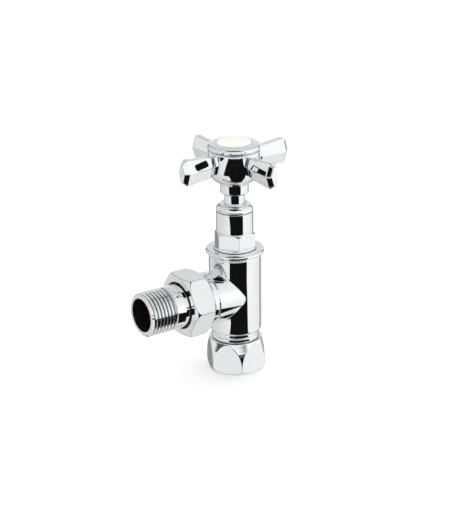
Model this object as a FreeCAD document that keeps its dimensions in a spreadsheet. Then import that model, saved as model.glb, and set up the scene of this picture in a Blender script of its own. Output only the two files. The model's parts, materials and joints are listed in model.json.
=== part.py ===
import FreeCAD, Part
import math
import os
import re

import Sketcher

# Angle radiator valve with a cross-head handle, for a 15 mm copper pipe and a G1/2 radiator tapping.
# Millimetres, +Z up along the spindle. The origin is the centre of the pipe entry, on the bottom face
# of the compression nut. The radiator tail points along -X.

# ---------------------------------------------------------------------------------------------
# Driving dimensions, written to the sheet. Heights are above the origin. Names that start with
# tail_, union_, seal_ or boss_ and end in _start, _end or similar are distances from the spindle axis.
# ---------------------------------------------------------------------------------------------
SIZES = [
    # shared by many pieces
    ("fine_edge", 0.3, "smallest broken edge"),
    ("broken_edge", 0.4, "usual broken edge"),
    ("thread_lead", 0.6, "chamfer where a thread starts"),
    ("thread_gap", 0.08, "radial gap in every screwed pair"),
    ("thread_slope", 27.5, "angle of each thread flank, degrees"),
    ("thread_root", 0.12, "half width of a thread's root"),
    ("thread_over", 0.12, "how far a thread cut reaches past the surface"),
    ("fit_gap", 0.05, "gap between fitted faces"),
    # pipe joint
    ("pipe_radius", 7.6, "bore that a 15 mm pipe slides into"),
    ("pipe_stop", 22.0, "height where the pipe meets its stop"),
    ("nut_flats", 25.5, "compression nut across flats"),
    ("nut_height", 16.0, "compression nut height"),
    ("nut_set", 7.0, "angle of the first corner of the vertical hexagons, degrees"),
    ("nut_foot_radius", 11.9, "flat ring under the compression nut"),
    ("nut_foot_height", 4.0, "height of the rounded foot of the nut"),
    ("nut_foot_bend", 4.2, "radius of the rounded foot of the nut"),
    ("nut_waist_radius", 13.6, "radius where the barrelled side of the nut meets its cone"),
    ("nut_waist_height", 12.0, "height of that place"),
    ("nut_waist_bend", 28.6, "radius of the barrelled side of the nut"),
    ("nut_crown_radius", 12.55, "outer edge of the nut's top face"),
    ("nut_floor", 3.4, "thickness of the wall round the pipe"),
    ("joint_thread_radius", 10.4, "crest of the thread under the compression nut"),
    ("joint_thread_pitch", 1.814, "pitch of the thread under the compression nut"),
    ("joint_thread_depth", 0.7, "depth of that thread"),
    ("joint_thread_top", 15.2, "top of the cut in the male thread"),
    ("joint_thread_foot", 8.0, "lower end of the cut in the female thread"),
    ("olive_radius", 8.9, "outside of the olive"),
    ("olive_start", 3.75, "underside of the olive"),
    ("olive_length", 6.6, "length of the olive"),
    ("olive_slope", 1.5, "length of each cone on the olive"),
    ("olive_tip", 0.35, "wall left at the ends of the olive"),
    ("olive_room", 0.3, "radial room round the olive"),
    # body
    ("spigot_bottom", 7.4, "lower end of the body"),
    ("spigot_mouth", 9.3, "mouth radius of the cone for the olive"),
    ("spigot_cone_top", 11.2, "height where that cone meets the pipe bore"),
    ("shoulder_radius", 11.5, "neck between nut and barrel"),
    ("shoulder_bottom", 16.4, "underside of that neck"),
    ("shoulder_groove", 18.0, "height of the turned groove in that neck"),
    ("groove_width", 0.7, "width of a turned groove"),
    ("groove_depth", 0.5, "depth of a turned groove"),
    ("shoulder_top", 20.2, "top of that neck"),
    ("barrel_radius", 12.6, "outside of the body barrel"),
    ("barrel_bottom", 21.5, "lower end of the full barrel"),
    ("barrel_top", 58.0, "upper end of the full barrel"),
    ("barrel_bend", 1.4, "radius between neck and barrel"),
    ("cove_radius", 12.15, "bottom of the groove under the flange"),
    ("flange_radius", 14.0, "flange round the top of the body"),
    ("flange_bottom", 58.9, "underside of the flange"),
    ("flange_lip", 13.1, "radius where the flange underside starts to round"),
    ("flange_bend", 1.3, "radius of the flange edges"),
    ("flange_rise", 1.0, "height of its rounded lower edge"),
    ("flange_round", 0.8, "height of its rounded top edge"),
    ("body_top", 61.3, "top face of the body"),
    ("waterway_radius", 6.0, "hole in the valve seat"),
    ("seat_top", 29.5, "height of the valve seat"),
    ("seat_lip_radius", 7.2, "outside of the raised seat"),
    ("chamber_floor", 28.3, "floor of the chamber round the seat"),
    ("chamber_radius", 9.05, "chamber bore and female bonnet thread"),
    ("ring_seat_radius", 10.2, "counterbore for the bonnet O-ring"),
    ("ring_seat_height", 60.1, "floor of that counterbore"),
    # branch
    ("branch_height", 39.15, "height of the branch axis"),
    ("boss_radius", 12.3, "boss between barrel and union"),
    ("boss_blend", 1.2, "blend radius between boss and barrel"),
    ("boss_groove", 17.1, "middle of the turned groove in the boss"),
    ("boss_end", 19.9, "end of the boss, behind the union nut"),
    ("union_thread_start", 20.7, "start of the male union thread"),
    ("union_thread_end", 27.0, "end face of the branch"),
    ("union_thread_radius", 12.4, "crest of the male union thread"),
    ("union_thread_pitch", 1.5, "pitch of the union thread"),
    ("union_thread_depth", 0.75, "depth of the union thread"),
    ("union_relief", 1.0, "depth of the groove behind the union thread"),
    ("branch_bore", 6.8, "bore of the branch"),
    ("seal_start", 27.05, "inner face of the flat union seal"),
    ("seal_thick", 1.3, "thickness of the union seal"),
    ("seal_inner", 8.0, "hole of the union seal"),
    ("seal_outer", 12.0, "outside of the union seal"),
    ("union_start", 21.0, "back face of the union nut"),
    ("union_end", 32.4, "front face of the union nut"),
    ("union_flats", 28.0, "union nut across flats"),
    ("union_rim", 13.9, "radius of the union nut's end faces"),
    ("union_crown", 2.6, "length of each turned end of the union nut"),
    ("union_bend", 3.4, "radius of each turned end"),
    ("union_lip_start", 30.1, "inner face of the lip that pulls the tail"),
    ("union_hole", 10.9, "hole in that lip"),
    # radiator tail
    ("tail_start", 28.4, "inner end of the tail"),
    ("tail_collar_radius", 12.1, "collar held by the union nut"),
    ("tail_collar_end", 30.0, "front of that collar"),
    ("tail_radius", 10.4, "plain part of the tail"),
    ("tail_relief_start", 39.2, "start of the groove behind the radiator thread"),
    ("tail_relief_radius", 9.8, "bottom of that groove"),
    ("tail_thread_start", 40.6, "start of the radiator thread"),
    ("tail_end", 52.9, "outer end of the tail"),
    ("tail_thread_radius", 10.48, "crest radius of a G1/2 thread"),
    ("tail_thread_pitch", 1.814, "pitch of a G1/2 thread"),
    ("tail_thread_depth", 1.1, "depth of the thread cut"),
    ("tail_lead", 1.0, "lead chamfer at the outer end"),
    ("tail_sectors", 10, "equal sectors that the tail's blank is made of"),
    ("tail_bore", 7.8, "bore at the outer end"),
    ("tail_neck_bore", 6.4, "bore at the inner end"),
    ("tail_key_start", 38.5, "inner end of the key socket"),
    ("tail_key_end", 46.0, "outer end of the key socket"),
    ("tail_key_flats", 13.0, "key socket across flats"),
    # headwork
    ("bonnet_bottom", 50.0, "lower end of the bonnet"),
    ("bonnet_thread_radius", 8.97, "crest of the bonnet thread"),
    ("bonnet_ring_radius", 10.3, "washer face of the bonnet"),
    ("bonnet_ring_top", 62.4, "top of that washer face"),
    ("bonnet_hex_top", 69.7, "top of the hexagon"),
    ("bonnet_flats", 17.5, "bonnet across flats"),
    ("bonnet_hex_slope", 1.6, "height of the turned top of the hexagon"),
    ("bonnet_hex_bend", 2.4, "radius of the turned top of the hexagon"),
    ("bonnet_neck_radius", 8.55, "bonnet just above its hexagon"),
    ("bonnet_neck_top", 79.8, "top face of the bonnet"),
    ("bonnet_stop", 65.35, "shoulder that stops the spindle when fully open"),
    ("packing_floor", 71.4, "floor of the packing chamber"),
    ("packing_radius", 7.2, "outside of the packing"),
    ("packing_top", 75.0, "top of the packing"),
    ("gland_washer_thick", 0.6, "thickness of the gland washer"),
    ("gland_radius", 8.9, "outside of the gland nut"),
    ("gland_skirt", 80.0, "height of the gland nut's lower edge"),
    ("gland_shoulder", 80.7, "height where its dome starts"),
    ("gland_top", 83.5, "top of the gland nut"),
    ("gland_lip", 6.3, "radius of the flat ring on its dome"),
    ("gland_bend", 3.1, "radius of its dome"),
    ("gland_well", 0.9, "depth of the dish round the spindle"),
    ("ring_thick", 1.1, "section of the bonnet O-ring"),
    # spindle and jumper
    ("stem_radius", 4.9, "polished stem of the spindle"),
    ("stem_gap", 0.06, "radial running gap round the stem"),
    ("spindle_bottom", 38.45, "lower end of the spindle"),
    ("spindle_foot_radius", 6.2, "spindle below its thread"),
    ("spindle_thread_bottom", 46.0, "lower end of the lifting thread"),
    ("spindle_thread_top", 64.5, "upper end of the lifting thread"),
    ("spindle_thread_radius", 6.8, "crest of the lifting thread"),
    ("stem_top", 91.3, "top of the round stem"),
    ("square_flats", 6.6, "driving square across flats"),
    ("square_top", 99.3, "top of the driving square"),
    ("jumper_bottom", 35.8, "underside of the jumper plate"),
    ("jumper_plate", 2.6, "thickness of the jumper plate"),
    ("jumper_radius", 8.2, "radius of the jumper plate"),
    ("jumper_edge", 1.0, "chamfer on the jumper plate"),
    ("jumper_stem_radius", 3.0, "jumper stem"),
    ("jumper_stem_top", 51.0, "top of the jumper stem"),
    ("jumper_bore_top", 52.0, "top of the bore in the spindle"),
    ("jumper_stud_radius", 1.9, "stud that carries the seat washer"),
    ("jumper_stud_bottom", 31.0, "lower end of that stud"),
    ("clip_height", 41.0, "underside of the jumper clip"),
    ("clip_wire", 0.8, "thickness of the jumper clip"),
    ("clip_outer", 3.75, "outside of the jumper clip"),
    ("clip_inner", 2.45, "inside of the jumper clip"),
    ("clip_opening", 50.0, "opening of the jumper clip, degrees"),
    ("washer_radius", 8.0, "seat washer"),
    ("washer_thick", 2.4, "thickness of the seat washer"),
    ("washer_nut_flats", 6.5, "seat washer nut across flats"),
    ("washer_nut_height", 1.9, "height of the seat washer nut"),
    # handle
    ("handle_set", 2.5, "angle of the first arm, degrees"),
    ("handle_bottom", 88.5, "lower end of the handle collar"),
    ("handle_collar", 6.8, "radius of the handle collar"),
    ("handle_collar_top", 93.6, "top of the plain collar"),
    ("handle_edge", 0.6, "broken edge of the collar"),
    ("handle_room", 0.2, "room round the stem inside the collar"),
    ("hub_radius", 12.3, "radius of the hub"),
    ("hub_waist", 100.2, "height where the hub becomes a plain cylinder"),
    ("hub_bend", 7.6, "radius of the bowl under the hub"),
    ("hub_top", 109.7, "top face of the hub"),
    ("hub_round", 0.8, "rounding of the hub's top edge"),
    ("hub_well_radius", 6.3, "well for the handle screw"),
    ("hub_well_floor", 102.4, "floor of that well"),
    ("hub_web_bottom", 99.8, "underside of the web that the screw clamps"),
    ("arm_height", 103.7, "height of the arms' centre line"),
    ("arm_start", 11.6, "start of the arm inside the hub"),
    ("arm_start_crease", 1.5, "half thickness there"),
    ("arm_start_half", 3.9, "half height there"),
    ("arm_start_flat", 0.7, "half width of the top flat there"),
    ("arm_root", 14.6, "radius of the full root section"),
    ("arm_root_crease", 3.0, "half thickness at the root"),
    ("arm_root_half", 5.1, "half height at the root"),
    ("arm_root_flat", 1.2, "half width of the top flat at the root"),
    ("arm_tip", 28.0, "radius of the full tip section"),
    ("arm_tip_crease", 3.7, "half thickness at the tip"),
    ("arm_tip_half", 6.3, "half height at the tip"),
    ("arm_tip_flat", 1.5, "half width of the top flat at the tip"),
    ("arm_end", 30.3, "radius of the arm's end face"),
    ("arm_end_crease", 2.1, "half thickness of the end face"),
    ("arm_end_half", 4.2, "half height of the end face"),
    ("arm_end_flat", 0.8, "half width of the flat on the end face"),
    ("arm_edge", 0.7, "rounding of the arm's long edges"),
    # index
    ("cap_radius", 12.4, "index cap"),
    ("cap_bottom", 109.8, "underside of the index cap"),
    ("cap_rim_foot", 11.7, "radius where that underside starts to round"),
    ("cap_rim_low", 110.5, "start of the cap's side"),
    ("cap_rim_high", 111.6, "end of the cap's side"),
    ("cap_crest", 112.6, "height where the cap's rounded rim ends"),
    ("cap_crest_radius", 11.3, "radius where the cap's rounded rim ends"),
    ("cap_bend", 1.25, "radius of that rim"),
    ("cap_top", 113.1, "height of the cap beside the ceramic index"),
    ("cap_plug_radius", 6.2, "plug under the cap"),
    ("cap_plug_bottom", 106.6, "underside of the plug"),
    ("cap_groove_bottom", 107.4, "groove for the small O-ring"),
    ("cap_groove_width", 1.3, "width of that groove"),
    ("cap_groove_radius", 5.15, "bottom of that groove"),
    ("cap_recess_floor", 111.2, "floor under the ceramic index"),
    ("index_radius", 8.3, "ceramic index"),
    ("index_edge", 113.3, "height of the ceramic index at its edge"),
    ("index_bend", 0.45, "radius of its edge"),
    ("index_dome", 0.8, "rise of the ceramic index"),
    ("small_ring_thick", 1.05, "section of the small O-ring"),
    # handle screw
    ("screw_radius", 1.95, "handle screw thread"),
    ("screw_hole", 2.2, "clearance hole for the handle screw"),
    ("screw_tip", 91.8, "lower end of the handle screw"),
    ("screw_bore_bottom", 90.8, "bottom of the tapped hole in the spindle"),
    ("drill_point", 1.0, "depth of the drill's cone under it"),
    ("screw_head_radius", 3.6, "head of the handle screw"),
    ("screw_head_height", 2.5, "height of the head"),
    ("screw_head_side", 0.9, "height of its plain side"),
    ("screw_head_flat", 2.0, "radius of the flat on top of it"),
    ("screw_head_bend", 3.9, "radius of the domed head"),
    ("screw_slot_width", 0.9, "width of the cross recess"),
    ("screw_slot_length", 4.0, "length of the cross recess"),
    ("screw_slot_depth", 1.3, "depth of the cross recess"),
    ("spring_thick", 0.7, "thickness of the spring washer"),
    ("spring_outer", 3.6, "outside of the spring washer"),
    ("spring_inner", 2.15, "inside of the spring washer"),
    ("spring_split", 14.0, "split of the spring washer, degrees"),
]

doc = FreeCAD.newDocument("angle_radiator_valve")
sheet = doc.addObject("Spreadsheet::Sheet", "size")
for row, (alias, value, meaning) in enumerate(SIZES, start=1):
    sheet.set("A%d" % row, alias)
    sheet.set("B%d" % row, str(value))
    sheet.set("C%d" % row, meaning)
    sheet.setAlias("B%d" % row, alias)
doc.recompute()

NAMES = {alias for alias, value, meaning in SIZES}
PIECES = []


# ---------------------------------------------------------------------------------------------
# Helpers. A formula is a string of sheet names and numbers, such as "nut_flats / 2".
# ---------------------------------------------------------------------------------------------
def bound(formula):
    """The formula as an expression that reads its names from the sheet."""
    def to_sheet(found):
        word = found.group()
        return "size." + word if word in NAMES else word
    return re.sub(r"[a-z_]+", to_sheet, formula)


def number(formula):
    """The formula's present value."""
    return float(sheet.evalExpression(bound(formula)))


def new_piece(name):
    """An empty body whose label is the piece's name."""
    body = doc.addObject("PartDesign::Body", name)
    body.Label = name
    PIECES.append(body)
    return body


def origin_item(body, role):
    """One of the body's own planes or axes."""
    return next(item for item in body.Origin.OriginFeatures if item.Role == role)


def new_sketch(body, name, role, offset="0", level="0", turned=0.0):
    """A sketch on an origin plane, moved off it by offset and up in it by level."""
    sketch = body.newObject("Sketcher::SketchObject", name)
    sketch.AttachmentSupport = [(origin_item(body, role), "")]
    sketch.MapMode = "FlatFace"
    turn = FreeCAD.Rotation(FreeCAD.Vector(0, 1, 0), turned)
    sketch.AttachmentOffset = FreeCAD.Placement(FreeCAD.Vector(), turn)
    sketch.setExpression("AttachmentOffset.Base.z", bound(offset))
    sketch.setExpression("AttachmentOffset.Base.y", bound(level))
    return sketch


def pin_corner(sketch, piece, end, across, along):
    """Hold one end of a line or arc at (across, along)."""
    for kind, formula, axis in (("DistanceX", across, -2), ("DistanceY", along, -1)):
        if abs(number(formula)) < 1e-7:
            sketch.addConstraint(Sketcher.Constraint("PointOnObject", piece, end, axis))
            continue
        rule = sketch.addConstraint(Sketcher.Constraint(kind, -1, 1, piece, end, number(formula)))
        sketch.setExpression("Constraints[%d]" % rule, bound(formula))


def arc_between(start, finish, radius, side):
    """An arc from start to finish that bulges to the left (side 1) or right (-1), and its end numbers."""
    chord = finish - start
    middle = (start + finish) * 0.5
    across = FreeCAD.Vector(-chord.y, chord.x, 0).normalize()
    reach = math.sqrt(radius ** 2 - (chord.Length / 2) ** 2)
    centre = middle - across * reach * side
    first, last = (finish, start) if side > 0 else (start, finish)
    angles = [math.atan2(point.y - centre.y, point.x - centre.x) for point in (first, last)]
    circle = Part.Circle(centre, FreeCAD.Vector(0, 0, 1), radius)
    return Part.ArcOfCircle(circle, angles[0], angles[1]), ((2, 1) if side > 0 else (1, 2))


def add_outline(sketch, corners):
    """A closed outline. A corner is (across, along); (across, along, radius, side) ends an arc."""
    points = [FreeCAD.Vector(number(corner[0]), number(corner[1]), 0) for corner in corners]
    ends = []
    for index, corner in enumerate(corners):
        start = points[index - 1]
        if len(corner) == 2:
            piece = sketch.addGeometry(Part.LineSegment(start, points[index]), False)
            ends.append((piece, 1, 2))
            continue
        curve, (first, last) = arc_between(start, points[index], number(corner[2]), corner[3])
        piece = sketch.addGeometry(curve, False)
        ends.append((piece, first, last))
        rule = sketch.addConstraint(Sketcher.Constraint("Radius", piece, number(corner[2])))
        sketch.setExpression("Constraints[%d]" % rule, bound(corner[2]))
    for index, (piece, first, last) in enumerate(ends):
        previous = ends[index - 1]
        sketch.addConstraint(Sketcher.Constraint("Coincident", previous[0], previous[2], piece, first))
        pin_corner(sketch, piece, last, corners[index][0], corners[index][1])


def turn_outline(body, name, corners, cut=False, axis="V_Axis", angle="360", **place):
    """Turn an outline of (radius, height) corners about the vertical axis, to add or to cut."""
    sketch = new_sketch(body, name + "_outline", "XZ_Plane", **place)
    add_outline(sketch, corners)
    kind = "PartDesign::Groove" if cut else "PartDesign::Revolution"
    feature = body.newObject(kind, name)
    feature.Profile = sketch
    feature.ReferenceAxis = (sketch, [axis])
    feature.setExpression("Angle", bound(angle))
    doc.recompute()
    return feature


def hexagon(flats, turn):
    """Corners of a hexagon, its first corner at the angle turn."""
    reach = "%s / sqrt(3)" % flats
    angles = ["(%s + %d)" % (turn, 60 * index) for index in range(6)]
    return [("%s * cos(%s)" % (reach, angle), "%s * sin(%s)" % (reach, angle)) for angle in angles]


def square(flats):
    """Corners of a square with sides along the axes."""
    half = "%s / 2" % flats
    return [(half, half), ("-" + half, half), ("-" + half, "-" + half), (half, "-" + half)]


def cut_prism(body, name, outline, bottom, height, blank=None):
    """Cut an upright prism, or with a blank radius cut all that lies outside it."""
    before = body.Shape.Volume
    sketch = new_sketch(body, name + "_outline", "XY_Plane", offset=bottom)
    add_outline(sketch, outline)
    if blank:
        ring = Part.Circle(FreeCAD.Vector(), FreeCAD.Vector(0, 0, 1), number(blank))
        piece = sketch.addGeometry(ring, False)
        sketch.addConstraint(Sketcher.Constraint("Coincident", piece, 3, -1, 1))
        rule = sketch.addConstraint(Sketcher.Constraint("Radius", piece, number(blank)))
        sketch.setExpression("Constraints[%d]" % rule, bound(blank))
    pocket = body.newObject("PartDesign::Pocket", name)
    pocket.Profile = sketch
    pocket.Reversed = True
    pocket.setExpression("Length", bound(height))
    doc.recompute()
    if pocket.Shape.Volume >= before - 1e-6:
        raise RuntimeError("%s cuts nothing" % name)
    return pocket


def round_edges(body, name, feature, radius, wanted):
    """Round the edges of a feature that the test picks out."""
    names = ["Edge%d" % (index + 1) for index, edge in enumerate(feature.Shape.Edges) if wanted(edge)]
    fillet = body.newObject("PartDesign::Fillet", name)
    fillet.Base = (feature, names)
    fillet.setExpression("Radius", bound(radius))
    doc.recompute()
    return fillet


def cut_thread(body, name, crest, depth, pitch, start, length, inward=True, axis="V_Axis", **place):
    """Cut a helical groove from start back towards lower numbers, into a shaft or, outward, into a bore."""
    sketch = new_sketch(body, name + "_outline", "XZ_Plane", **place)
    floor, rise = "(%s - %s)" % (crest, depth), "(%s + thread_over)" % crest
    if not inward:
        floor, rise = "(%s + %s)" % (crest, depth), "(%s - thread_over)" % crest
    mouth = "(thread_root + (%s + thread_over) * tan(thread_slope))" % depth
    corners = [
        (floor, "%s - thread_root" % start),
        (floor, "%s + thread_root" % start),
        (rise, "%s + %s" % (start, mouth)),
        (rise, "%s - %s" % (start, mouth)),
    ]
    if axis == "H_Axis":
        corners = [(along, across) for across, along in corners]
    add_outline(sketch, corners)
    thread = body.newObject("PartDesign::SubtractiveHelix", name)
    thread.Profile = sketch
    thread.ReferenceAxis = (sketch, [axis])
    thread.Mode = 0
    thread.Reversed = True
    thread.Refine = False
    thread.setExpression("Pitch", bound(pitch))
    thread.setExpression("Height", bound(length))
    doc.recompute()
    return thread


def pattern_round(body, name, feature, count):
    """Repeat a feature evenly round the vertical axis."""
    pattern = body.newObject("PartDesign::PolarPattern", name)
    pattern.Originals = [feature]
    pattern.Axis = (origin_item(body, "Z_Axis"), [""])
    pattern.Angle = 360
    pattern.Occurrences = count
    body.Tip = pattern
    doc.recompute()
    return pattern


def lay_along_branch(body):
    """Lay a piece that was turned upright along the branch axis."""
    body.Placement = FreeCAD.Placement(FreeCAD.Vector(), FreeCAD.Rotation(FreeCAD.Vector(0, 1, 0), -90))
    body.setExpression("Placement.Base.z", bound("branch_height"))


def washer(name, inner, outer, bottom, height, angle="360"):
    """A flat ring, or part of one."""
    body = new_piece(name)
    top = "%s + %s" % (bottom, height)
    turn_outline(body, name + "_ring", [(inner, bottom), (outer, bottom), (outer, top), (inner, top)],
                 angle=angle)
    return body


def o_ring(name, middle, centre, section):
    """A round ring: middle is its mean radius, centre its height and section its thickness."""
    ring = doc.addObject("Part::Torus", name)
    ring.Label = name
    ring.setExpression("Radius1", bound(middle))
    ring.setExpression("Radius2", bound("%s / 2" % section))
    ring.setExpression("Placement.Base.z", bound(centre))
    PIECES.append(ring)
    return ring


# ---------------------------------------------------------------------------------------------
# Body: barrel, branch, seat and bores
# ---------------------------------------------------------------------------------------------
def is_boss_blend(edge):
    """True for the seam where the boss leaves the barrel."""
    box = edge.BoundBox
    reach = number("boss_radius")
    seam = abs(box.YMax - reach) < 0.2 and abs(box.YMin + reach) < 0.2
    return seam and box.XMax < 0 and box.XMin > -number("barrel_radius") - 0.5


def make_valve_body():
    body = new_piece("valve_body")
    groove = "shoulder_radius - groove_depth"
    turn_outline(body, "barrel", [
        ("0", "spigot_bottom"),
        ("joint_thread_radius - thread_lead", "spigot_bottom"),
        ("joint_thread_radius", "spigot_bottom + thread_lead"),
        ("joint_thread_radius", "shoulder_bottom"),
        ("shoulder_radius", "shoulder_bottom"),
        ("shoulder_radius", "shoulder_groove"),
        (groove, "shoulder_groove + groove_width / 2"),
        ("shoulder_radius", "shoulder_groove + groove_width"),
        ("shoulder_radius", "shoulder_top"),
        ("barrel_radius", "barrel_bottom", "barrel_bend", -1),
        ("barrel_radius", "barrel_top"),
        ("cove_radius", "(barrel_top + flange_bottom) / 2", "barrel_bend", 1),
        ("flange_lip", "flange_bottom"),
        ("flange_radius", "flange_bottom + flange_rise", "flange_bend", -1),
        ("flange_radius", "body_top - flange_round"),
        ("flange_radius - flange_round", "body_top", "flange_bend", -1),
        ("0", "body_top"),
    ])
    boss = turn_outline(body, "branch", [
        ("0", "0"),
        ("0", "boss_radius"),
        ("boss_groove - groove_width / 2", "boss_radius"),
        ("boss_groove", "boss_radius - groove_depth"),
        ("boss_groove + groove_width / 2", "boss_radius"),
        ("boss_end - fine_edge", "boss_radius"),
        ("boss_end", "boss_radius - fine_edge"),
        ("boss_end", "union_thread_radius - union_relief"),
        ("union_thread_start", "union_thread_radius - union_relief"),
        ("union_thread_start", "union_thread_radius"),
        ("union_thread_end", "union_thread_radius"),
        ("union_thread_end", "0"),
    ], axis="H_Axis", level="branch_height", turned=180)
    round_edges(body, "boss_fillet", boss, "boss_blend", is_boss_blend)
    turn_outline(body, "upright_bore", [
        ("0", "spigot_bottom"),
        ("spigot_mouth", "spigot_bottom"),
        ("pipe_radius", "spigot_cone_top"),
        ("pipe_radius", "pipe_stop"),
        ("waterway_radius", "pipe_stop"),
        ("waterway_radius", "seat_top"),
        ("seat_lip_radius", "seat_top"),
        ("seat_lip_radius", "chamber_floor"),
        ("chamber_radius", "chamber_floor"),
        ("chamber_radius", "ring_seat_height"),
        ("ring_seat_radius", "ring_seat_height"),
        ("ring_seat_radius", "body_top"),
        ("0", "body_top"),
    ], cut=True)
    turn_outline(body, "branch_bore", [
        ("0", "0"),
        ("0", "branch_bore"),
        ("union_thread_end", "branch_bore"),
        ("union_thread_end", "0"),
    ], cut=True, axis="H_Axis", level="branch_height", turned=180)
    cut_thread(body, "pipe_joint_thread", "joint_thread_radius", "joint_thread_depth", "joint_thread_pitch",
               "joint_thread_top", "joint_thread_top - spigot_bottom + joint_thread_pitch / 2")
    cut_thread(body, "union_thread", "union_thread_radius", "union_thread_depth", "union_thread_pitch",
               "(union_thread_end + union_thread_pitch / 2)",
               "union_thread_end - union_thread_start + union_thread_pitch / 2",
               axis="H_Axis", level="branch_height", turned=180)


# ---------------------------------------------------------------------------------------------
# Pipe joint: olive and compression nut
# ---------------------------------------------------------------------------------------------
def make_compression_olive():
    body = new_piece("compression_olive")
    turn_outline(body, "olive", [
        ("pipe_radius", "olive_start"),
        ("pipe_radius + olive_tip", "olive_start"),
        ("olive_radius", "olive_start + olive_slope"),
        ("olive_radius", "olive_start + olive_length - 2 * olive_slope"),
        ("pipe_radius + olive_tip", "olive_start + olive_length"),
        ("pipe_radius", "olive_start + olive_length"),
    ])


def make_compression_nut():
    body = new_piece("compression_nut")
    corner = "nut_flats / sqrt(3)"
    female = "joint_thread_radius + thread_gap"
    turn_outline(body, "nut_blank", [
        ("pipe_radius", "0"),
        ("nut_foot_radius", "0"),
        (corner, "nut_foot_height", "nut_foot_bend", -1),
        ("nut_waist_radius", "nut_waist_height", "nut_waist_bend", -1),
        ("nut_crown_radius", "nut_height"),
        (female + " + thread_lead", "nut_height"),
        (female, "nut_height - thread_lead"),
        (female, "olive_start + olive_slope + thread_lead"),
        ("olive_radius + olive_room", "olive_start + olive_slope"),
        ("pipe_radius + olive_tip", "nut_floor"),
        ("pipe_radius", "nut_floor"),
    ])
    cut_prism(body, "nut_flats_cut", hexagon("nut_flats", "nut_set"), "0", "nut_height", "nut_flats")
    start = "(nut_height + joint_thread_pitch / 2)"
    cut_thread(body, "nut_thread", female, "joint_thread_depth", "joint_thread_pitch", start,
               start + " - joint_thread_foot", inward=False)


# ---------------------------------------------------------------------------------------------
# Union: seal, radiator tail and union nut
# ---------------------------------------------------------------------------------------------
def make_union_nut():
    body = new_piece("union_nut")
    corner = "union_flats / sqrt(3)"
    female = "union_thread_radius + thread_gap"
    turn_outline(body, "union_blank", [
        (female + " + thread_lead", "union_start"),
        ("union_rim", "union_start"),
        (corner, "union_start + union_crown", "union_bend", -1),
        (corner, "union_end - union_crown"),
        ("union_rim", "union_end", "union_bend", -1),
        ("union_hole + broken_edge", "union_end"),
        ("union_hole", "union_end - broken_edge"),
        ("union_hole", "union_lip_start"),
        (female, "union_lip_start"),
        (female, "union_start + thread_lead"),
    ])
    cut_prism(body, "union_flats_cut", hexagon("union_flats", "30"), "union_start",
              "union_end - union_start", "union_flats")
    start = "(union_lip_start - union_thread_pitch)"
    cut_thread(body, "nut_thread", female, "union_thread_depth", "union_thread_pitch", start,
               start + " - union_start + union_thread_pitch / 2", inward=False)
    lay_along_branch(body)


def make_radiator_tail():
    """The blank is made of sectors, so that each short stretch of the thread has a crest face of its own."""
    body = new_piece("radiator_tail")
    sector = turn_outline(body, "tail_sector", [
        ("tail_neck_bore", "tail_start"),
        ("tail_collar_radius", "tail_start"),
        ("tail_collar_radius", "tail_collar_end"),
        ("tail_radius", "tail_collar_end"),
        ("tail_radius", "tail_relief_start"),
        ("tail_relief_radius", "tail_relief_start + broken_edge"),
        ("tail_relief_radius", "tail_thread_start"),
        ("tail_thread_radius", "tail_thread_start + broken_edge"),
        ("tail_thread_radius", "tail_end - tail_lead"),
        ("tail_thread_radius - tail_lead", "tail_end"),
        ("tail_bore + fine_edge", "tail_end"),
        ("tail_bore", "tail_end - fine_edge"),
        ("tail_bore", "tail_key_end"),
        ("tail_neck_bore", "tail_key_end"),
    ], angle="360 / tail_sectors")
    sector.Refine = False
    pattern_round(body, "tail_blank", sector, int(number("tail_sectors"))).Refine = False
    cut_thread(body, "radiator_thread", "tail_thread_radius", "tail_thread_depth", "tail_thread_pitch",
               "(tail_end + tail_thread_pitch / 2)",
               "tail_end - tail_thread_start + tail_thread_pitch / 2 + fine_edge")
    cut_prism(body, "key_socket", hexagon("tail_key_flats", "30"), "tail_key_start",
              "tail_key_end - tail_key_start")
    lay_along_branch(body)


def make_union_seal():
    seal = washer("union_seal", "seal_inner", "seal_outer", "seal_start", "seal_thick")
    lay_along_branch(seal)


# ---------------------------------------------------------------------------------------------
# Headwork: bonnet, gland and packing
# ---------------------------------------------------------------------------------------------
def make_headwork_bonnet():
    body = new_piece("headwork_bonnet")
    corner = "bonnet_flats / sqrt(3)"
    lifting = "spindle_thread_radius + thread_gap"
    turn_outline(body, "bonnet_blank", [
        (lifting, "bonnet_bottom"),
        ("bonnet_thread_radius - thread_lead", "bonnet_bottom"),
        ("bonnet_thread_radius", "bonnet_bottom + thread_lead"),
        ("bonnet_thread_radius", "body_top + fit_gap"),
        ("bonnet_ring_radius - fine_edge", "body_top + fit_gap"),
        ("bonnet_ring_radius", "body_top + fine_edge"),
        ("bonnet_ring_radius", "bonnet_ring_top - fine_edge"),
        (corner, "bonnet_ring_top"),
        (corner, "bonnet_hex_top - bonnet_hex_slope"),
        ("bonnet_neck_radius", "bonnet_hex_top", "bonnet_hex_bend", -1),
        ("gland_radius", "bonnet_hex_top + broken_edge"),
        ("gland_radius", "bonnet_neck_top"),
        ("packing_radius + fit_gap", "bonnet_neck_top"),
        ("packing_radius + fit_gap", "packing_floor"),
        ("stem_radius + stem_gap", "packing_floor"),
        ("stem_radius + stem_gap", "bonnet_stop"),
        (lifting, "bonnet_stop"),
    ])
    cut_prism(body, "bonnet_flats_cut", hexagon("bonnet_flats", "nut_set"), "bonnet_ring_top",
              "bonnet_hex_top - bonnet_ring_top", "bonnet_flats")


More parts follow.
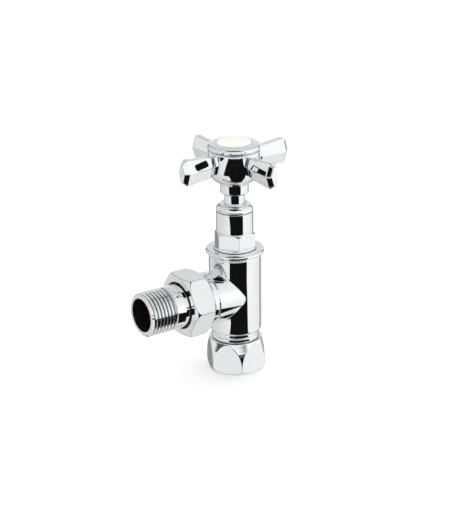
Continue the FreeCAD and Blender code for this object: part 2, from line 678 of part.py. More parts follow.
def make_gland_nut():
    body = new_piece("gland_nut")
    bottom = "packing_top + gland_washer_thick + 2 * fit_gap"
    turn_outline(body, "gland", [
        ("stem_radius + stem_gap", bottom),
        ("packing_radius - thread_gap", bottom),
        ("packing_radius - thread_gap", "gland_skirt"),
        ("gland_radius - fine_edge", "gland_skirt"),
        ("gland_radius", "gland_skirt + fine_edge"),
        ("gland_radius", "gland_shoulder"),
        ("gland_lip", "gland_top", "gland_bend", -1),
        ("stem_radius + gland_well", "gland_top"),
        ("stem_radius + broken_edge", "gland_top - gland_well"),
        ("stem_radius + stem_gap", "gland_top - gland_well"),
    ])


def make_packing():
    washer("gland_packing", "stem_radius + stem_gap", "packing_radius", "packing_floor + fit_gap",
           "packing_top - packing_floor - fit_gap")
    washer("gland_washer", "stem_radius + stem_gap", "packing_radius - thread_gap", "packing_top + fit_gap",
           "gland_washer_thick")
    o_ring("bonnet_o_ring", "(chamber_radius + ring_seat_radius) / 2", "body_top - ring_thick / 2 - fit_gap",
           "ring_thick")


# ---------------------------------------------------------------------------------------------
# Spindle, and the jumper that it lifts
# ---------------------------------------------------------------------------------------------
def make_spindle():
    body = new_piece("spindle")
    bore = "jumper_stem_radius + fit_gap"
    clip_room = "clip_outer + fit_gap"
    turn_outline(body, "spindle_blank", [
        (bore, "spindle_bottom"),
        ("spindle_foot_radius", "spindle_bottom"),
        ("spindle_foot_radius", "spindle_thread_bottom"),
        ("spindle_thread_radius", "spindle_thread_bottom + thread_lead"),
        ("spindle_thread_radius", "spindle_thread_top - broken_edge"),
        ("spindle_thread_radius - broken_edge", "spindle_thread_top"),
        ("stem_radius", "spindle_thread_top"),
        ("stem_radius", "square_top"),
        ("screw_radius + fit_gap", "square_top"),
        ("screw_radius + fit_gap", "screw_bore_bottom"),
        ("0", "screw_bore_bottom - drill_point"),
        ("0", "jumper_bore_top"),
        (bore, "jumper_bore_top"),
        (bore, "clip_height + clip_wire + fit_gap"),
        (clip_room, "clip_height + clip_wire + fit_gap"),
        (clip_room, "clip_height - fit_gap"),
        (bore, "clip_height - fit_gap"),
    ])
    cut_prism(body, "square_cut", square("square_flats"), "stem_top", "square_top - stem_top",
              "(2 * stem_radius)")
    body.setExpression("Placement.Rotation.Angle", bound("handle_set"))


def make_jumper():
    body = new_piece("jumper")
    plate_top = "jumper_bottom + jumper_plate"
    turn_outline(body, "jumper_blank", [
        ("0", "jumper_stud_bottom"),
        ("jumper_stud_radius", "jumper_stud_bottom"),
        ("jumper_stud_radius", "jumper_bottom"),
        ("jumper_radius", "jumper_bottom"),
        ("jumper_radius", plate_top + " - jumper_edge"),
        ("jumper_radius - jumper_edge", plate_top),
        ("jumper_stem_radius", plate_top),
        ("jumper_stem_radius", "clip_height - fit_gap"),
        ("clip_inner - fit_gap", "clip_height - fit_gap"),
        ("clip_inner - fit_gap", "clip_height + clip_wire + fit_gap"),
        ("jumper_stem_radius", "clip_height + clip_wire + fit_gap"),
        ("jumper_stem_radius", "jumper_stem_top - broken_edge"),
        ("jumper_stem_radius - broken_edge", "jumper_stem_top"),
        ("0", "jumper_stem_top"),
    ])
    washer("jumper_clip", "clip_inner", "clip_outer", "clip_height", "clip_wire", "360 - clip_opening")


def make_seat_washer():
    washer("seat_washer", "jumper_stud_radius + fit_gap", "washer_radius",
           "jumper_bottom - fit_gap - washer_thick", "washer_thick")
    body = new_piece("seat_washer_nut")
    top = "jumper_bottom - 2 * fit_gap - washer_thick"
    bottom = top + " - washer_nut_height"
    corner = "washer_nut_flats / sqrt(3)"
    turn_outline(body, "washer_nut_blank", [
        ("jumper_stud_radius + fit_gap", bottom),
        (corner + " - broken_edge", bottom),
        (corner, bottom + " + fine_edge"),
        (corner, top),
        ("jumper_stud_radius + fit_gap", top),
    ])
    cut_prism(body, "washer_nut_cut", hexagon("washer_nut_flats", "0"), bottom, "washer_nut_height",
              "washer_nut_flats")


# ---------------------------------------------------------------------------------------------
# Cross-head handle
# ---------------------------------------------------------------------------------------------
def arm_section(body, station):
    """One six-sided section of the arm, with a crease half-way up each side."""
    sketch = new_sketch(body, station + "_section", "YZ_Plane", offset=station)
    crease, half, flat = (station + "_" + part for part in ("crease", "half", "flat"))
    top = "arm_height + " + half
    bottom = "arm_height - " + half
    add_outline(sketch, [
        (crease, "arm_height"),
        (flat, top),
        ("-" + flat, top),
        ("-" + crease, "arm_height"),
        ("-" + flat, bottom),
        (flat, bottom),
    ])
    return sketch


def is_arm_edge(edge):
    """True for the edges that run along an arm or round its tip, clear of the hub."""
    ends = [math.hypot(vertex.X, vertex.Y) for vertex in edge.Vertexes]
    root = number("arm_root") - 0.2
    return len(ends) == 2 and min(ends) > root


def make_crosshead_handle():
    body = new_piece("crosshead_handle")
    turn_outline(body, "hub", [
        ("stem_radius + handle_room", "handle_bottom"),
        ("handle_collar - handle_edge", "handle_bottom"),
        ("handle_collar", "handle_bottom + handle_edge"),
        ("handle_collar", "handle_collar_top"),
        ("hub_radius", "hub_waist", "hub_bend", -1),
        ("hub_radius", "hub_top - hub_round"),
        ("hub_radius - hub_round", "hub_top", "hub_round", -1),
        ("hub_well_radius", "hub_top"),
        ("hub_well_radius", "hub_well_floor"),
        ("screw_hole", "hub_well_floor"),
        ("screw_hole", "stem_top + handle_room"),
        ("stem_radius + handle_room", "stem_top + handle_room"),
    ])
    cut_prism(body, "square_socket", square("(square_flats + 2 * fit_gap)"), "stem_top",
              "hub_web_bottom - stem_top")
    sections = [arm_section(body, name) for name in ("arm_start", "arm_root", "arm_tip", "arm_end")]
    arm = body.newObject("PartDesign::AdditiveLoft", "arm")
    arm.Profile = sections[0]
    arm.Sections = sections[1:]
    arm.Ruled = True
    doc.recompute()
    arms = pattern_round(body, "arms", arm, 4)
    round_edges(body, "arm_edges", arms, "arm_edge", is_arm_edge)
    body.setExpression("Placement.Rotation.Angle", bound("handle_set"))


def make_index():
    cap = new_piece("index_cap")
    turn_outline(cap, "cap", [
        ("0", "cap_plug_bottom"),
        ("cap_plug_radius - broken_edge", "cap_plug_bottom"),
        ("cap_plug_radius", "cap_plug_bottom + broken_edge"),
        ("cap_plug_radius", "cap_groove_bottom"),
        ("cap_groove_radius", "cap_groove_bottom"),
        ("cap_groove_radius", "cap_groove_bottom + cap_groove_width"),
        ("cap_plug_radius", "cap_groove_bottom + cap_groove_width"),
        ("cap_plug_radius", "cap_bottom"),
        ("cap_rim_foot", "cap_bottom"),
        ("cap_radius", "cap_rim_low", "cap_bend", -1),
        ("cap_radius", "cap_rim_high"),
        ("cap_crest_radius", "cap_crest", "cap_bend", -1),
        ("index_radius + fit_gap", "cap_top"),
        ("index_radius + fit_gap", "cap_recess_floor"),
        ("0", "cap_recess_floor"),
    ])
    disc = new_piece("ceramic_index")
    dome_radius = "((index_radius - broken_edge)^2 + index_dome^2) / (2 * index_dome)"
    turn_outline(disc, "index", [
        ("0", "cap_recess_floor + fit_gap"),
        ("index_radius", "cap_recess_floor + fit_gap"),
        ("index_radius", "index_edge - fine_edge"),
        ("index_radius - broken_edge", "index_edge", "index_bend", -1),
        ("0", "index_edge + index_dome", dome_radius, -1),
    ])
    o_ring("index_o_ring", "(cap_groove_radius + hub_well_radius) / 2",
           "cap_groove_bottom + cap_groove_width / 2", "small_ring_thick")


def make_handle_screw():
    washer("handle_spring_washer", "spring_inner", "spring_outer", "hub_well_floor + fit_gap",
           "spring_thick", "360 - spring_split")
    body = new_piece("handle_screw")
    seat = "hub_well_floor + 2 * fit_gap + spring_thick"
    top = seat + " + screw_head_height"
    turn_outline(body, "screw", [
        ("0", "screw_tip"),
        ("screw_radius - broken_edge", "screw_tip"),
        ("screw_radius", "screw_tip + broken_edge"),
        ("screw_radius", seat),
        ("screw_head_radius", seat),
        ("screw_head_radius", seat + " + screw_head_side"),
        ("screw_head_flat", top, "screw_head_bend", -1),
        ("0", top),
    ])
    half_width = "screw_slot_width / 2"
    half_length = "screw_slot_length / 2"
    for name, across, along in (("slot", half_width, half_length), ("cross_slot", half_length, half_width)):
        corners = [(across, along), ("-" + across, along), ("-" + across, "-" + along), (across, "-" + along)]
        cut_prism(body, name, corners, top + " - screw_slot_depth", "2 * screw_slot_depth")


# ---------------------------------------------------------------------------------------------
# Build, check and write
# ---------------------------------------------------------------------------------------------
make_valve_body()
make_compression_olive()
make_compression_nut()
make_union_seal()
make_radiator_tail()
make_union_nut()
make_headwork_bonnet()
make_gland_nut()
make_packing()
make_spindle()
make_jumper()
make_seat_washer()
make_crosshead_handle()
make_index()
make_handle_screw()
doc.recompute()

for item in doc.Objects:
    if "Invalid" in item.State or "Error" in item.State:
        raise RuntimeError("%s is %s" % (item.Name, item.State))

for piece in PIECES:
    shape = piece.Shape
    if shape.isNull() or not shape.isValid() or not shape.Solids:
        raise RuntimeError("%s has no valid solid" % piece.Label)

os.makedirs("parts", exist_ok=True)
for piece in PIECES:
    piece.Shape.exportStep(os.path.join("parts", piece.Label + ".step"))
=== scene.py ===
import json
import math

import bpy
from mathutils import Matrix, Vector


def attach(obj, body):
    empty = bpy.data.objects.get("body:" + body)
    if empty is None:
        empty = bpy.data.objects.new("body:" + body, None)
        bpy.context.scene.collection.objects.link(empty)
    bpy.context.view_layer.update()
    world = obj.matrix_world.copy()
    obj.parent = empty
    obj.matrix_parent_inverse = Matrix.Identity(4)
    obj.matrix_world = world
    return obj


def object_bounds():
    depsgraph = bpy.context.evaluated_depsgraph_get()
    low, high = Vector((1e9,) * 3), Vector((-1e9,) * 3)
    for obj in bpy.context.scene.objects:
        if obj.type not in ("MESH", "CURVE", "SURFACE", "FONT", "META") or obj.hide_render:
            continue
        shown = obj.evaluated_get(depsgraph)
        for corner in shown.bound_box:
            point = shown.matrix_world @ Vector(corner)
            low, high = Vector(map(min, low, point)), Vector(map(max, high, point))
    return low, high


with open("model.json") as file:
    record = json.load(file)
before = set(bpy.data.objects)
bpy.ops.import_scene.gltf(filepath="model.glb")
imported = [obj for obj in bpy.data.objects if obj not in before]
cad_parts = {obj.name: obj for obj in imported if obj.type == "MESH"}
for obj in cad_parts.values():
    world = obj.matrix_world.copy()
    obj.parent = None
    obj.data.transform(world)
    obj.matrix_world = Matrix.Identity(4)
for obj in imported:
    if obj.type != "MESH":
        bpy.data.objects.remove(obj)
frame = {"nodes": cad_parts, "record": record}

# Looks of a chrome angle radiator valve. Metres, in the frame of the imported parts.
cad_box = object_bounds()
MM = 0.001

# ---------------------------------------------------------------------------------------------
# View: where the camera stands, and the directions that go with it
# ---------------------------------------------------------------------------------------------
VIEW_AZIMUTH = math.radians(-34.5)
VIEW_ELEVATION = math.radians(21)
VIEW_ROLL = math.radians(-0.6)
VIEW_DISTANCE = 0.8
VIEW_SIDE_STEP = 4.74 * MM
LENS = 119.15

# Level directions: towards the camera and to its right
FRONT = Vector((math.sin(VIEW_AZIMUTH), -math.cos(VIEW_AZIMUTH), 0))
RIGHT = Vector((math.cos(VIEW_AZIMUTH), math.sin(VIEW_AZIMUTH), 0))
UP = Vector((0, 0, 1))


def middle(low, high):
    return (low + high) / 2


def make_camera():
    back = FRONT * math.cos(VIEW_ELEVATION) + UP * math.sin(VIEW_ELEVATION)
    above = back.cross(RIGHT)
    right = RIGHT * math.cos(VIEW_ROLL) + above * math.sin(VIEW_ROLL)
    above = back.cross(right)
    aim = UP * middle(cad_box[0].z, cad_box[1].z)
    data = bpy.data.cameras.new("camera")
    data.lens = LENS
    data.clip_start = 0.01
    data.clip_end = 50
    camera = bpy.data.objects.new("camera", data)
    bpy.context.scene.collection.objects.link(camera)
    turn = Matrix((right, above, back)).transposed().to_4x4()
    camera.matrix_world = Matrix.Translation(aim + back * VIEW_DISTANCE - right * VIEW_SIDE_STEP) @ turn
    bpy.context.scene.camera = camera


# ---------------------------------------------------------------------------------------------
# A small helper for node trees
# ---------------------------------------------------------------------------------------------
class Nodes:
    """Adds nodes to a tree. An input is a number, a colour, a vector or another node's output."""

    def __init__(self, tree):
        self.tree = tree

    def add(self, kind, inputs=None, **settings):
        node = self.tree.nodes.new(kind)
        for name, value in settings.items():
            setattr(node, name, value)
        for name, value in (inputs or {}).items():
            self.feed(node.inputs[name], value)
        return node

    def feed(self, socket, value):
        if isinstance(value, bpy.types.NodeSocket):
            self.tree.links.new(value, socket)
        elif isinstance(value, (tuple, list)) and socket.type == "RGBA":
            socket.default_value = (*value[:3], 1)
        else:
            socket.default_value = value

    def math(self, operation, first, second=0.0, clamp=False):
        node = self.add("ShaderNodeMath", {0: first, 1: second}, operation=operation, use_clamp=clamp)
        return node.outputs[0]

    def ramp_between(self, value, low, high):
        """0 at low, 1 at high, smooth between them."""
        node = self.add("ShaderNodeMapRange", {"Value": value, "From Min": low, "From Max": high},
                        interpolation_type="SMOOTHSTEP")
        return node.outputs["Result"]

    def window(self, value, low, high, softness):
        """1 between low and high, 0 outside them, smooth across the ends."""
        rise = self.ramp_between(value, low - softness, low + softness)
        fall = self.ramp_between(value, high + softness, high - softness)
        return self.math("MULTIPLY", rise, fall)

    def range(self, value, low, high):
        """Stretch a value between 0 and 1 to low and high."""
        node = self.add("ShaderNodeMapRange", {"Value": value, "To Min": low, "To Max": high})
        return node.outputs["Result"]

    def noise(self, vector, scale, detail=3.0, roughness=0.5):
        node = self.add("ShaderNodeTexNoise", {"Vector": vector, "Scale": scale, "Detail": detail,
                                               "Roughness": roughness})
        return node.outputs["Fac"]

    def mix_colour(self, share, first, second):
        node = self.add("ShaderNodeMix", data_type="RGBA")
        self.feed(node.inputs["Factor"], share)
        self.feed(node.inputs[6], first)
        self.feed(node.inputs[7], second)
        return node.outputs[2]


# ---------------------------------------------------------------------------------------------
# Surroundings: a white tent with dark openings, seen only in reflections, and plain light
# ---------------------------------------------------------------------------------------------
# Edge of the open part of the table in front of the valve: millimetres to the right and to the front
# of the spindle axis. A wedge near the valve widens to the left further out.
TABLE_OPENING = [
    (-25, 43), (2, 21), (12, 17.5), (42, 17.5), (45, 37), (80, 63), (250, 212),
    (250, 258), (160, 322), (60, 355), (-40, 358), (-100, 350), (-150, 322), (-190, 280),
    (-215, 245), (-235, 205), (-180, 192), (-140, 196), (-100, 186), (-64, 150), (-24, 70),
]
TABLE_OPENING_HEIGHT = 0.2

# Corners of the opening overhead, by azimuth and elevation, and its distance in metres
UPPER_GAP = ((-50, 46), (0, 40), (50, 46), (70, 78), (0, 84), (-70, 78))
UPPER_GAP_DISTANCE = 1.1

# Small cards close to the two front arms. For each: where on the arm it is mirrored, in millimetres,
# the direction it lies in from there, and its width and height
SMALL_CARDS = [
    ("arm_card", (-20.3, -3.4, 106.2), (78.1, 12.6), (6.2, 3.2)),
    ("tip_card_high", (-1.0, -29.1, 106.3), (-38, 11.6), (3.4, 5.0)),
    ("tip_card_low", (-1.0, -29.1, 101.0), (-47, -47.6), (3.4, 5.0)),
]
CARD_DISTANCE = 4 * MM
# Radius of a card's corners, as a share of its height, and the steps of the arc
CARD_CORNER = 0.28
CORNER_STEPS = 6

# Glow of the dark places, and the size of its variation
DARK_GLOW = (0.0042, 0.0098)
DARK_COLOUR = (0.95, 0.98, 1.0)
DARK_SCALE = 9

# Brightness of the tent: in the middle, and how it changes to the right, to the front and steeply up
# or down. The glow is a brighter belt round the horizon that fades by GLOW_FALL.
TENT_COLOUR = (0.985, 1.0, 1.0)
TENT_BASE = 0.84
TENT_RIGHT = 0.12
TENT_FRONT = 0.13
TENT_RISE = -0.10
GLOW_LEVEL = 0.2
GLOW_FALL = 2.2
CLOTH_SCALE = 3.5
CLOTH_TONE = (0.95, 1.05)

# Dark bands of the tent. For each: azimuths, elevations, softness of both, and how dark it is
TENT_BANDS = [
    # the slit between table and tent
    ((-118, 44), (-2.5, 4.5), (12, 1.5), 0.9),
    # the two seams behind the valve
    ((130, 148), (-60, 62), (3, 8), 0.6),
    ((-160, -142), (-60, 62), (3, 8), 0.6),
]

# Light for everything that isn't a reflection, and the floor that takes it
PLAIN_LIGHT = 1.12
FLOOR_HALF_SIZE = 4.0
FLOOR_TONES = ((0.94, 0.94, 0.94), (0.97, 0.97, 0.97))
FLECK_SCALE = 900
FLOOR_GLOW = 0.14
FLOOR_ROUGHNESS = 0.9
FLOOR_GLOSS = 0.1


def spot(right, front, height=0.0):
    """A place given in millimetres to the right and to the front of the spindle axis, and above the floor."""
    return (RIGHT * right + FRONT * front + UP * height) * MM


def heading(azimuth, elevation):
    """A direction: azimuth from the camera, right positive."""
    turn = math.radians(azimuth)
    rise = math.radians(elevation)
    level = RIGHT * math.sin(turn) + FRONT * math.cos(turn)
    return level * math.cos(rise) + UP * math.sin(rise)


def toward(azimuth, elevation, distance):
    """A place in a direction from the middle of the valve."""
    return UP * middle(cad_box[0].z, cad_box[1].z) + heading(azimuth, elevation) * distance


def dark_material():
    material = bpy.data.materials.new("dark_room")
    material.use_nodes = True
    tree = material.node_tree
    tree.nodes.clear()
    nodes = Nodes(tree)
    place = nodes.add("ShaderNodeTexCoord").outputs["Object"]
    depth = nodes.range(nodes.noise(place, DARK_SCALE), *DARK_GLOW)
    glow = nodes.add("ShaderNodeEmission", {"Color": DARK_COLOUR, "Strength": depth})
    output = nodes.add("ShaderNodeOutputMaterial")
    tree.links.new(glow.outputs[0], output.inputs["Surface"])
    return material


def make_gap(name, corners, material):
    """A dark opening in the tent, seen only in reflections."""
    mesh = bpy.data.meshes.new(name)
    mesh.from_pydata([tuple(corner) for corner in corners], [], [range(len(corners))])
    mesh.materials.append(material)
    gap = bpy.data.objects.new(name, mesh)
    bpy.context.scene.collection.objects.link(gap)
    gap.visible_camera = False
    gap.visible_diffuse = False
    gap.visible_transmission = False
    gap.visible_shadow = False
    return gap


def rounded_card(centre, across, up, width, height):
    """Corners of a card with rounded corners, on the plane of the across and up directions."""
    radius = CARD_CORNER * height
    outline = []
    for quarter, (right, top) in enumerate(((1, 1), (-1, 1), (-1, -1), (1, -1))):
        turning_point = across * right * (width / 2 - radius) + up * top * (height / 2 - radius)
        for step in range(CORNER_STEPS + 1):
            turn = math.radians(90 * (quarter + step / CORNER_STEPS))
            outline.append(centre + turning_point + (across * math.cos(turn) + up * math.sin(turn)) * radius)
    return outline


def small_card(name, place, direction, size, material):
    """A card that shows in one facet of an arm. It rises with the handle and doesn't turn with it."""
    way = heading(*direction)
    centre = Vector(place) * MM + way * CARD_DISTANCE
    across = UP.cross(way).normalized()
    up = way.cross(across)
    width, height = (side * MM for side in size)
    card = make_gap(name, rounded_card(centre, across, up, width, height), material)
    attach(card, "jumper")


def make_gaps():
    """The openings and cards. The one in the table goes down with the floor."""
    dark = dark_material()
    table_corners = [spot(right, front, TABLE_OPENING_HEIGHT) for right, front in TABLE_OPENING]
    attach(make_gap("table_opening", table_corners, dark), "olive")
    upper_corners = [toward(azimuth, elevation, UPPER_GAP_DISTANCE) for azimuth, elevation in UPPER_GAP]
    make_gap("upper_gap", upper_corners, dark)
    for card in SMALL_CARDS:
        small_card(*card, dark)


def tent_light(nodes, direction):
    """Brightness of the tent in a direction."""
    def along(vector):
        return nodes.add("ShaderNodeVectorMath", {0: direction, 1: vector},
                         operation="DOT_PRODUCT").outputs["Value"]

    rightward = along(RIGHT)
    forward = along(FRONT)
    upward = along(UP)
    light = nodes.math("ADD", TENT_BASE, nodes.math("MULTIPLY", rightward, TENT_RIGHT))
    light = nodes.math("ADD", light, nodes.math("MULTIPLY", forward, TENT_FRONT))
    steep = nodes.math("MULTIPLY", upward, nodes.math("MULTIPLY", upward, upward))
    light = nodes.math("ADD", light, nodes.math("MULTIPLY", nodes.math("ABSOLUTE", steep), TENT_RISE))
    slope = nodes.math("MULTIPLY", nodes.math("ABSOLUTE", upward), GLOW_FALL)
    belt = nodes.math("SUBTRACT", 1.0, slope, clamp=True)
    light = nodes.math("ADD", light, nodes.math("MULTIPLY", belt, GLOW_LEVEL))
    cloth = nodes.range(nodes.noise(direction, CLOTH_SCALE, 2), *CLOTH_TONE)
    light = nodes.math("MULTIPLY", light, cloth)
    azimuth = nodes.math("DEGREES", nodes.math("ARCTAN2", rightward, forward))
    elevation = nodes.math("DEGREES", nodes.math("ARCSINE", upward))
    for azimuths, elevations, softness, darkness in TENT_BANDS:
        sideways = nodes.window(azimuth, *azimuths, softness[0])
        upright = nodes.window(elevation, *elevations, softness[1])
        band = nodes.math("MULTIPLY", sideways, upright)
        light = nodes.math("MULTIPLY", light, nodes.range(band, 1.0, 1.0 - darkness))
    return light


def make_surroundings():
    """Reflections see the tent, and everything else is lit by an even white sky."""
    world = bpy.data.worlds.new("studio")
    world.use_nodes = True
    bpy.context.scene.world = world
    tree = world.node_tree
    tree.nodes.clear()
    nodes = Nodes(tree)
    direction = nodes.add("ShaderNodeTexCoord").outputs["Generated"]
    light = tent_light(nodes, direction)
    tent = nodes.add("ShaderNodeBackground", {"Color": TENT_COLOUR, "Strength": light})
    plain = nodes.add("ShaderNodeBackground", {"Color": (1, 1, 1), "Strength": PLAIN_LIGHT})
    path = nodes.add("ShaderNodeLightPath")
    mix = nodes.add("ShaderNodeMixShader", {0: path.outputs["Is Glossy Ray"], 1: plain.outputs[0],
                                            2: tent.outputs[0]})
    output = nodes.add("ShaderNodeOutputWorld")
    tree.links.new(mix.outputs[0], output.inputs["Surface"])


def make_floor():
    """A paper floor. It goes down with the compression nut, which stands on it."""
    size = FLOOR_HALF_SIZE
    mesh = bpy.data.meshes.new("floor")
    corners = [(-size, -size, 0), (size, -size, 0), (size, size, 0), (-size, size, 0)]
    mesh.from_pydata(corners, [], [(0, 1, 2, 3)])
    floor = bpy.data.objects.new("floor", mesh)
    bpy.context.scene.collection.objects.link(floor)
    floor.visible_glossy = False
    material, nodes, bsdf, place = new_material("floor_paper")
    fleck = nodes.noise(place, FLECK_SCALE, 4)
    nodes.feed(bsdf.inputs["Base Color"], nodes.mix_colour(fleck, *FLOOR_TONES))
    nodes.feed(bsdf.inputs["Emission Color"], (1.0, 1.0, 1.0))
    bsdf.inputs["Emission Strength"].default_value = FLOOR_GLOW
    bsdf.inputs["Roughness"].default_value = FLOOR_ROUGHNESS
    bsdf.inputs["Specular IOR Level"].default_value = FLOOR_GLOSS
    mesh.materials.append(material)
    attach(floor, "olive")


# ---------------------------------------------------------------------------------------------
# Materials
# ---------------------------------------------------------------------------------------------
BRANCH_AXIS_HEIGHT = 39.15 * MM

# Chrome: tones of the plate, of the painted shade where the union nut and the radiator tail meet, of the
# darker thread grooves and of the painted dark reflection on edges
PLATE_TONES = ((0.84, 0.86, 0.88), (0.92, 0.932, 0.942))
PAINTED_GAP_SHADE_TONES = ((0.035, 0.024, 0.016), (0.075, 0.05, 0.033))
GROOVE_TONE = (0.12, 0.12, 0.125)
PAINTED_EDGE_REFLECTION_TONE = (0.1, 0.1, 0.105)
# Noise scales of its haze, of its fine polishing marks and of its gentle ripples
HAZE_SCALE = 130
FINE_SCALE = 1400
RIPPLE_SCALE = 230
# Roughness that haze and fine marks add, and that the darker thread grooves and the painted shade near the
# branch axis add
HAZE_ROUGHNESS = 0.02
FINE_ROUGHNESS = 0.015
GROOVE_ROUGHNESS = 0.25
GAP_SHADE_ROUGHNESS = 0.4
# Match of the true and the rounded normal: from a flat face to the middle of an edge
EDGE_MATCH = (0.999, 0.97)

# Radiator thread: radii near crest and root, the stretch along X, and softness at its ends
THREAD_RADII = (10.35 * MM, 9.5 * MM)
THREAD_STRETCH = (-51.7 * MM, -39.1 * MM)
THREAD_FADE = 0.2 * MM
# Softness, in millimetres, at the edge of the painted shade round the branch axis
GAP_SHADE_FADE = 0.1

# Every other finish: noise scale and depth of its grain in millimetres
GRAIN_SCALE = 400
GRAIN_DEPTH = 0.02


def new_material(name):
    material = bpy.data.materials.new(name)
    material.use_nodes = True
    nodes = Nodes(material.node_tree)
    bsdf = material.node_tree.nodes["Principled BSDF"]
    place = nodes.add("ShaderNodeTexCoord").outputs["Object"]
    return material, nodes, bsdf, place


def distance_from_branch_axis(nodes, place):
    parts = nodes.add("ShaderNodeSeparateXYZ", {0: place})
    rise = nodes.math("SUBTRACT", parts.outputs["Z"], BRANCH_AXIS_HEIGHT)
    squares = nodes.math("ADD", nodes.math("MULTIPLY", rise, rise),
                         nodes.math("MULTIPLY", parts.outputs["Y"], parts.outputs["Y"]))
    return nodes.math("SQRT", squares)


def within_branch(nodes, place, radius):
    """1 closer to the branch axis than the radius, in millimetres, and 0 elsewhere."""
    outside = (radius + GAP_SHADE_FADE) * MM
    inside = (radius - GAP_SHADE_FADE) * MM
    return nodes.ramp_between(distance_from_branch_axis(nodes, place), outside, inside)


def thread_groove_depth(nodes, place):
    """How far down in the grooves of the radiator thread a place is, from 0 to 1."""
    depth = nodes.ramp_between(distance_from_branch_axis(nodes, place), *THREAD_RADII)
    along = nodes.add("ShaderNodeSeparateXYZ", {0: place}).outputs["X"]
    return nodes.math("MULTIPLY", depth, nodes.window(along, *THREAD_STRETCH, THREAD_FADE))


def edge_shade(nodes, rounded):
    """1 on the rounding of a sharp edge, where the rounded normal leaves the true one, and 0 on faces."""
    true = nodes.add("ShaderNodeNewGeometry").outputs["Normal"]
    match = nodes.add("ShaderNodeVectorMath", {0: true, 1: rounded}, operation="DOT_PRODUCT").outputs["Value"]
    return nodes.ramp_between(match, *EDGE_MATCH)


def chrome(name, edge_radius=0.25, waviness=0.003, gap_shade_radius=None, groove_darkening=0.0, painted_edge_reflection=0.0):
    """Polished chrome plate.

    Edges are rounded by edge_radius and darkened by painted_edge_reflection, a painted dark reflection.
    Within gap_shade_radius of the branch axis a painted shade darkens the plate, which is also made rougher
    there. The grooves of the radiator thread grow darker and rougher towards their roots, by the share in
    grime.
    """
    material, nodes, bsdf, place = new_material(name)
    haze = nodes.noise(place, HAZE_SCALE, 5)
    fine = nodes.noise(place, FINE_SCALE, 4, 0.6)
    colour = nodes.mix_colour(haze, *PLATE_TONES)
    rough = nodes.math("ADD", nodes.range(haze, 0.0, HAZE_ROUGHNESS), nodes.range(fine, 0.0, FINE_ROUGHNESS))
    # The radiator thread grows darker and rougher towards the roots of its grooves
    if groove_darkening:
        groove = nodes.math("MULTIPLY", thread_groove_depth(nodes, place), groove_darkening)
        colour = nodes.mix_colour(groove, colour, GROOVE_TONE)
        rough = nodes.math("ADD", rough, nodes.math("MULTIPLY", groove, GROOVE_ROUGHNESS))
    # Painted shade: close to the branch axis the plate is darkened and made rougher, standing in for the
    # shade where the union nut and the radiator tail meet
    if gap_shade_radius:
        gap_shade = within_branch(nodes, place, gap_shade_radius)
        colour = nodes.mix_colour(gap_shade, colour, nodes.mix_colour(fine, *PAINTED_GAP_SHADE_TONES))
        rough = nodes.math("ADD", rough, nodes.math("MULTIPLY", gap_shade, GAP_SHADE_ROUGHNESS))
    rounded = nodes.add("ShaderNodeBevel", {"Radius": edge_radius * MM}, samples=8).outputs[0]
    # Painted dark reflection: the colour of edge roundings is darkened to stand in for the dark surroundings
    # that the edges mirror
    if painted_edge_reflection:
        shade = nodes.math("MULTIPLY", edge_shade(nodes, rounded), painted_edge_reflection)
        colour = nodes.mix_colour(shade, colour, PAINTED_EDGE_REFLECTION_TONE)
    bsdf.inputs["Metallic"].default_value = 1.0
    nodes.feed(bsdf.inputs["Base Color"], colour)
    nodes.feed(bsdf.inputs["Roughness"], rough)
    ripple = nodes.noise(place, RIPPLE_SCALE, 2)
    bump = nodes.add("ShaderNodeBump", {"Strength": 1.0, "Distance": waviness * MM, "Height": ripple,
                                        "Normal": rounded})
    nodes.feed(bsdf.inputs["Normal"], bump.outputs[0])
    return material


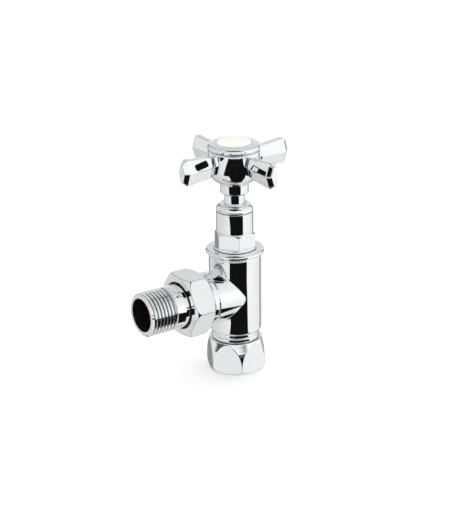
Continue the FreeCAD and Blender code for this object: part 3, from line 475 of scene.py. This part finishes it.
def plain_finish(name, low, high, roughness, metallic=0.0):
    """A grainy finish between two tones and two values of roughness."""
    material, nodes, bsdf, place = new_material(name)
    bsdf.inputs["Metallic"].default_value = metallic
    grain = nodes.noise(place, GRAIN_SCALE, 5)
    nodes.feed(bsdf.inputs["Base Color"], nodes.mix_colour(grain, low, high))
    nodes.feed(bsdf.inputs["Roughness"], nodes.range(grain, *roughness))
    bump = nodes.add("ShaderNodeBump", {"Strength": 1.0, "Distance": GRAIN_DEPTH * MM, "Height": grain})
    nodes.feed(bsdf.inputs["Normal"], bump.outputs[0])
    return material


def make_materials():
    """By the name of a slot, or of a piece with a finish of its own."""
    return {
        "chrome": chrome("polished_chrome"),
        "crosshead_handle": chrome("handle_chrome", edge_radius=0.6, waviness=0.0008, painted_edge_reflection=0.6),
        "index_cap": chrome("cap_chrome", edge_radius=0.6, waviness=0.002, painted_edge_reflection=0.5),
        "radiator_tail": chrome("tail_chrome", edge_radius=0.12, gap_shade_radius=8.05, groove_darkening=0.75),
        "union_nut": chrome("union_chrome", edge_radius=0.5, gap_shade_radius=11.35, painted_edge_reflection=0.6),
        "compression_nut": chrome("nut_chrome", edge_radius=0.5, painted_edge_reflection=0.35),
        "valve_body": chrome("body_chrome", edge_radius=0.6),
        "bare_brass": plain_finish("machined_brass", (0.7, 0.48, 0.2), (0.86, 0.66, 0.34), (0.2, 0.35), 1.0),
        "ceramic": plain_finish("glazed_ceramic", (0.9, 0.88, 0.82), (0.94, 0.93, 0.88), (0.05, 0.12)),
        "black_rubber": plain_finish("rubber", (0.02, 0.02, 0.02), (0.05, 0.05, 0.05), (0.5, 0.7)),
        "steel": plain_finish("zinc_steel", (0.55, 0.56, 0.58), (0.7, 0.7, 0.72), (0.2, 0.4), 1.0),
        "white_packing": plain_finish("packing", (0.8, 0.8, 0.78), (0.9, 0.9, 0.88), (0.7, 0.9)),
        "red_fibre": plain_finish("fibre", (0.35, 0.1, 0.07), (0.5, 0.15, 0.1), (0.7, 0.9)),
    }


def dress(materials):
    """A piece takes the material of its own name if there is one, or else the one of its slot."""
    slots = {part["node"]: part["material_slot"] for part in frame["record"]["subparts"]}
    for name, node in frame["nodes"].items():
        for slot in node.material_slots:
            slot.material = materials.get(name) or materials[slots[name]]


make_camera()
make_surroundings()
make_gaps()
make_floor()
dress(make_materials())

bpy.context.scene.view_settings.view_transform = "Standard"
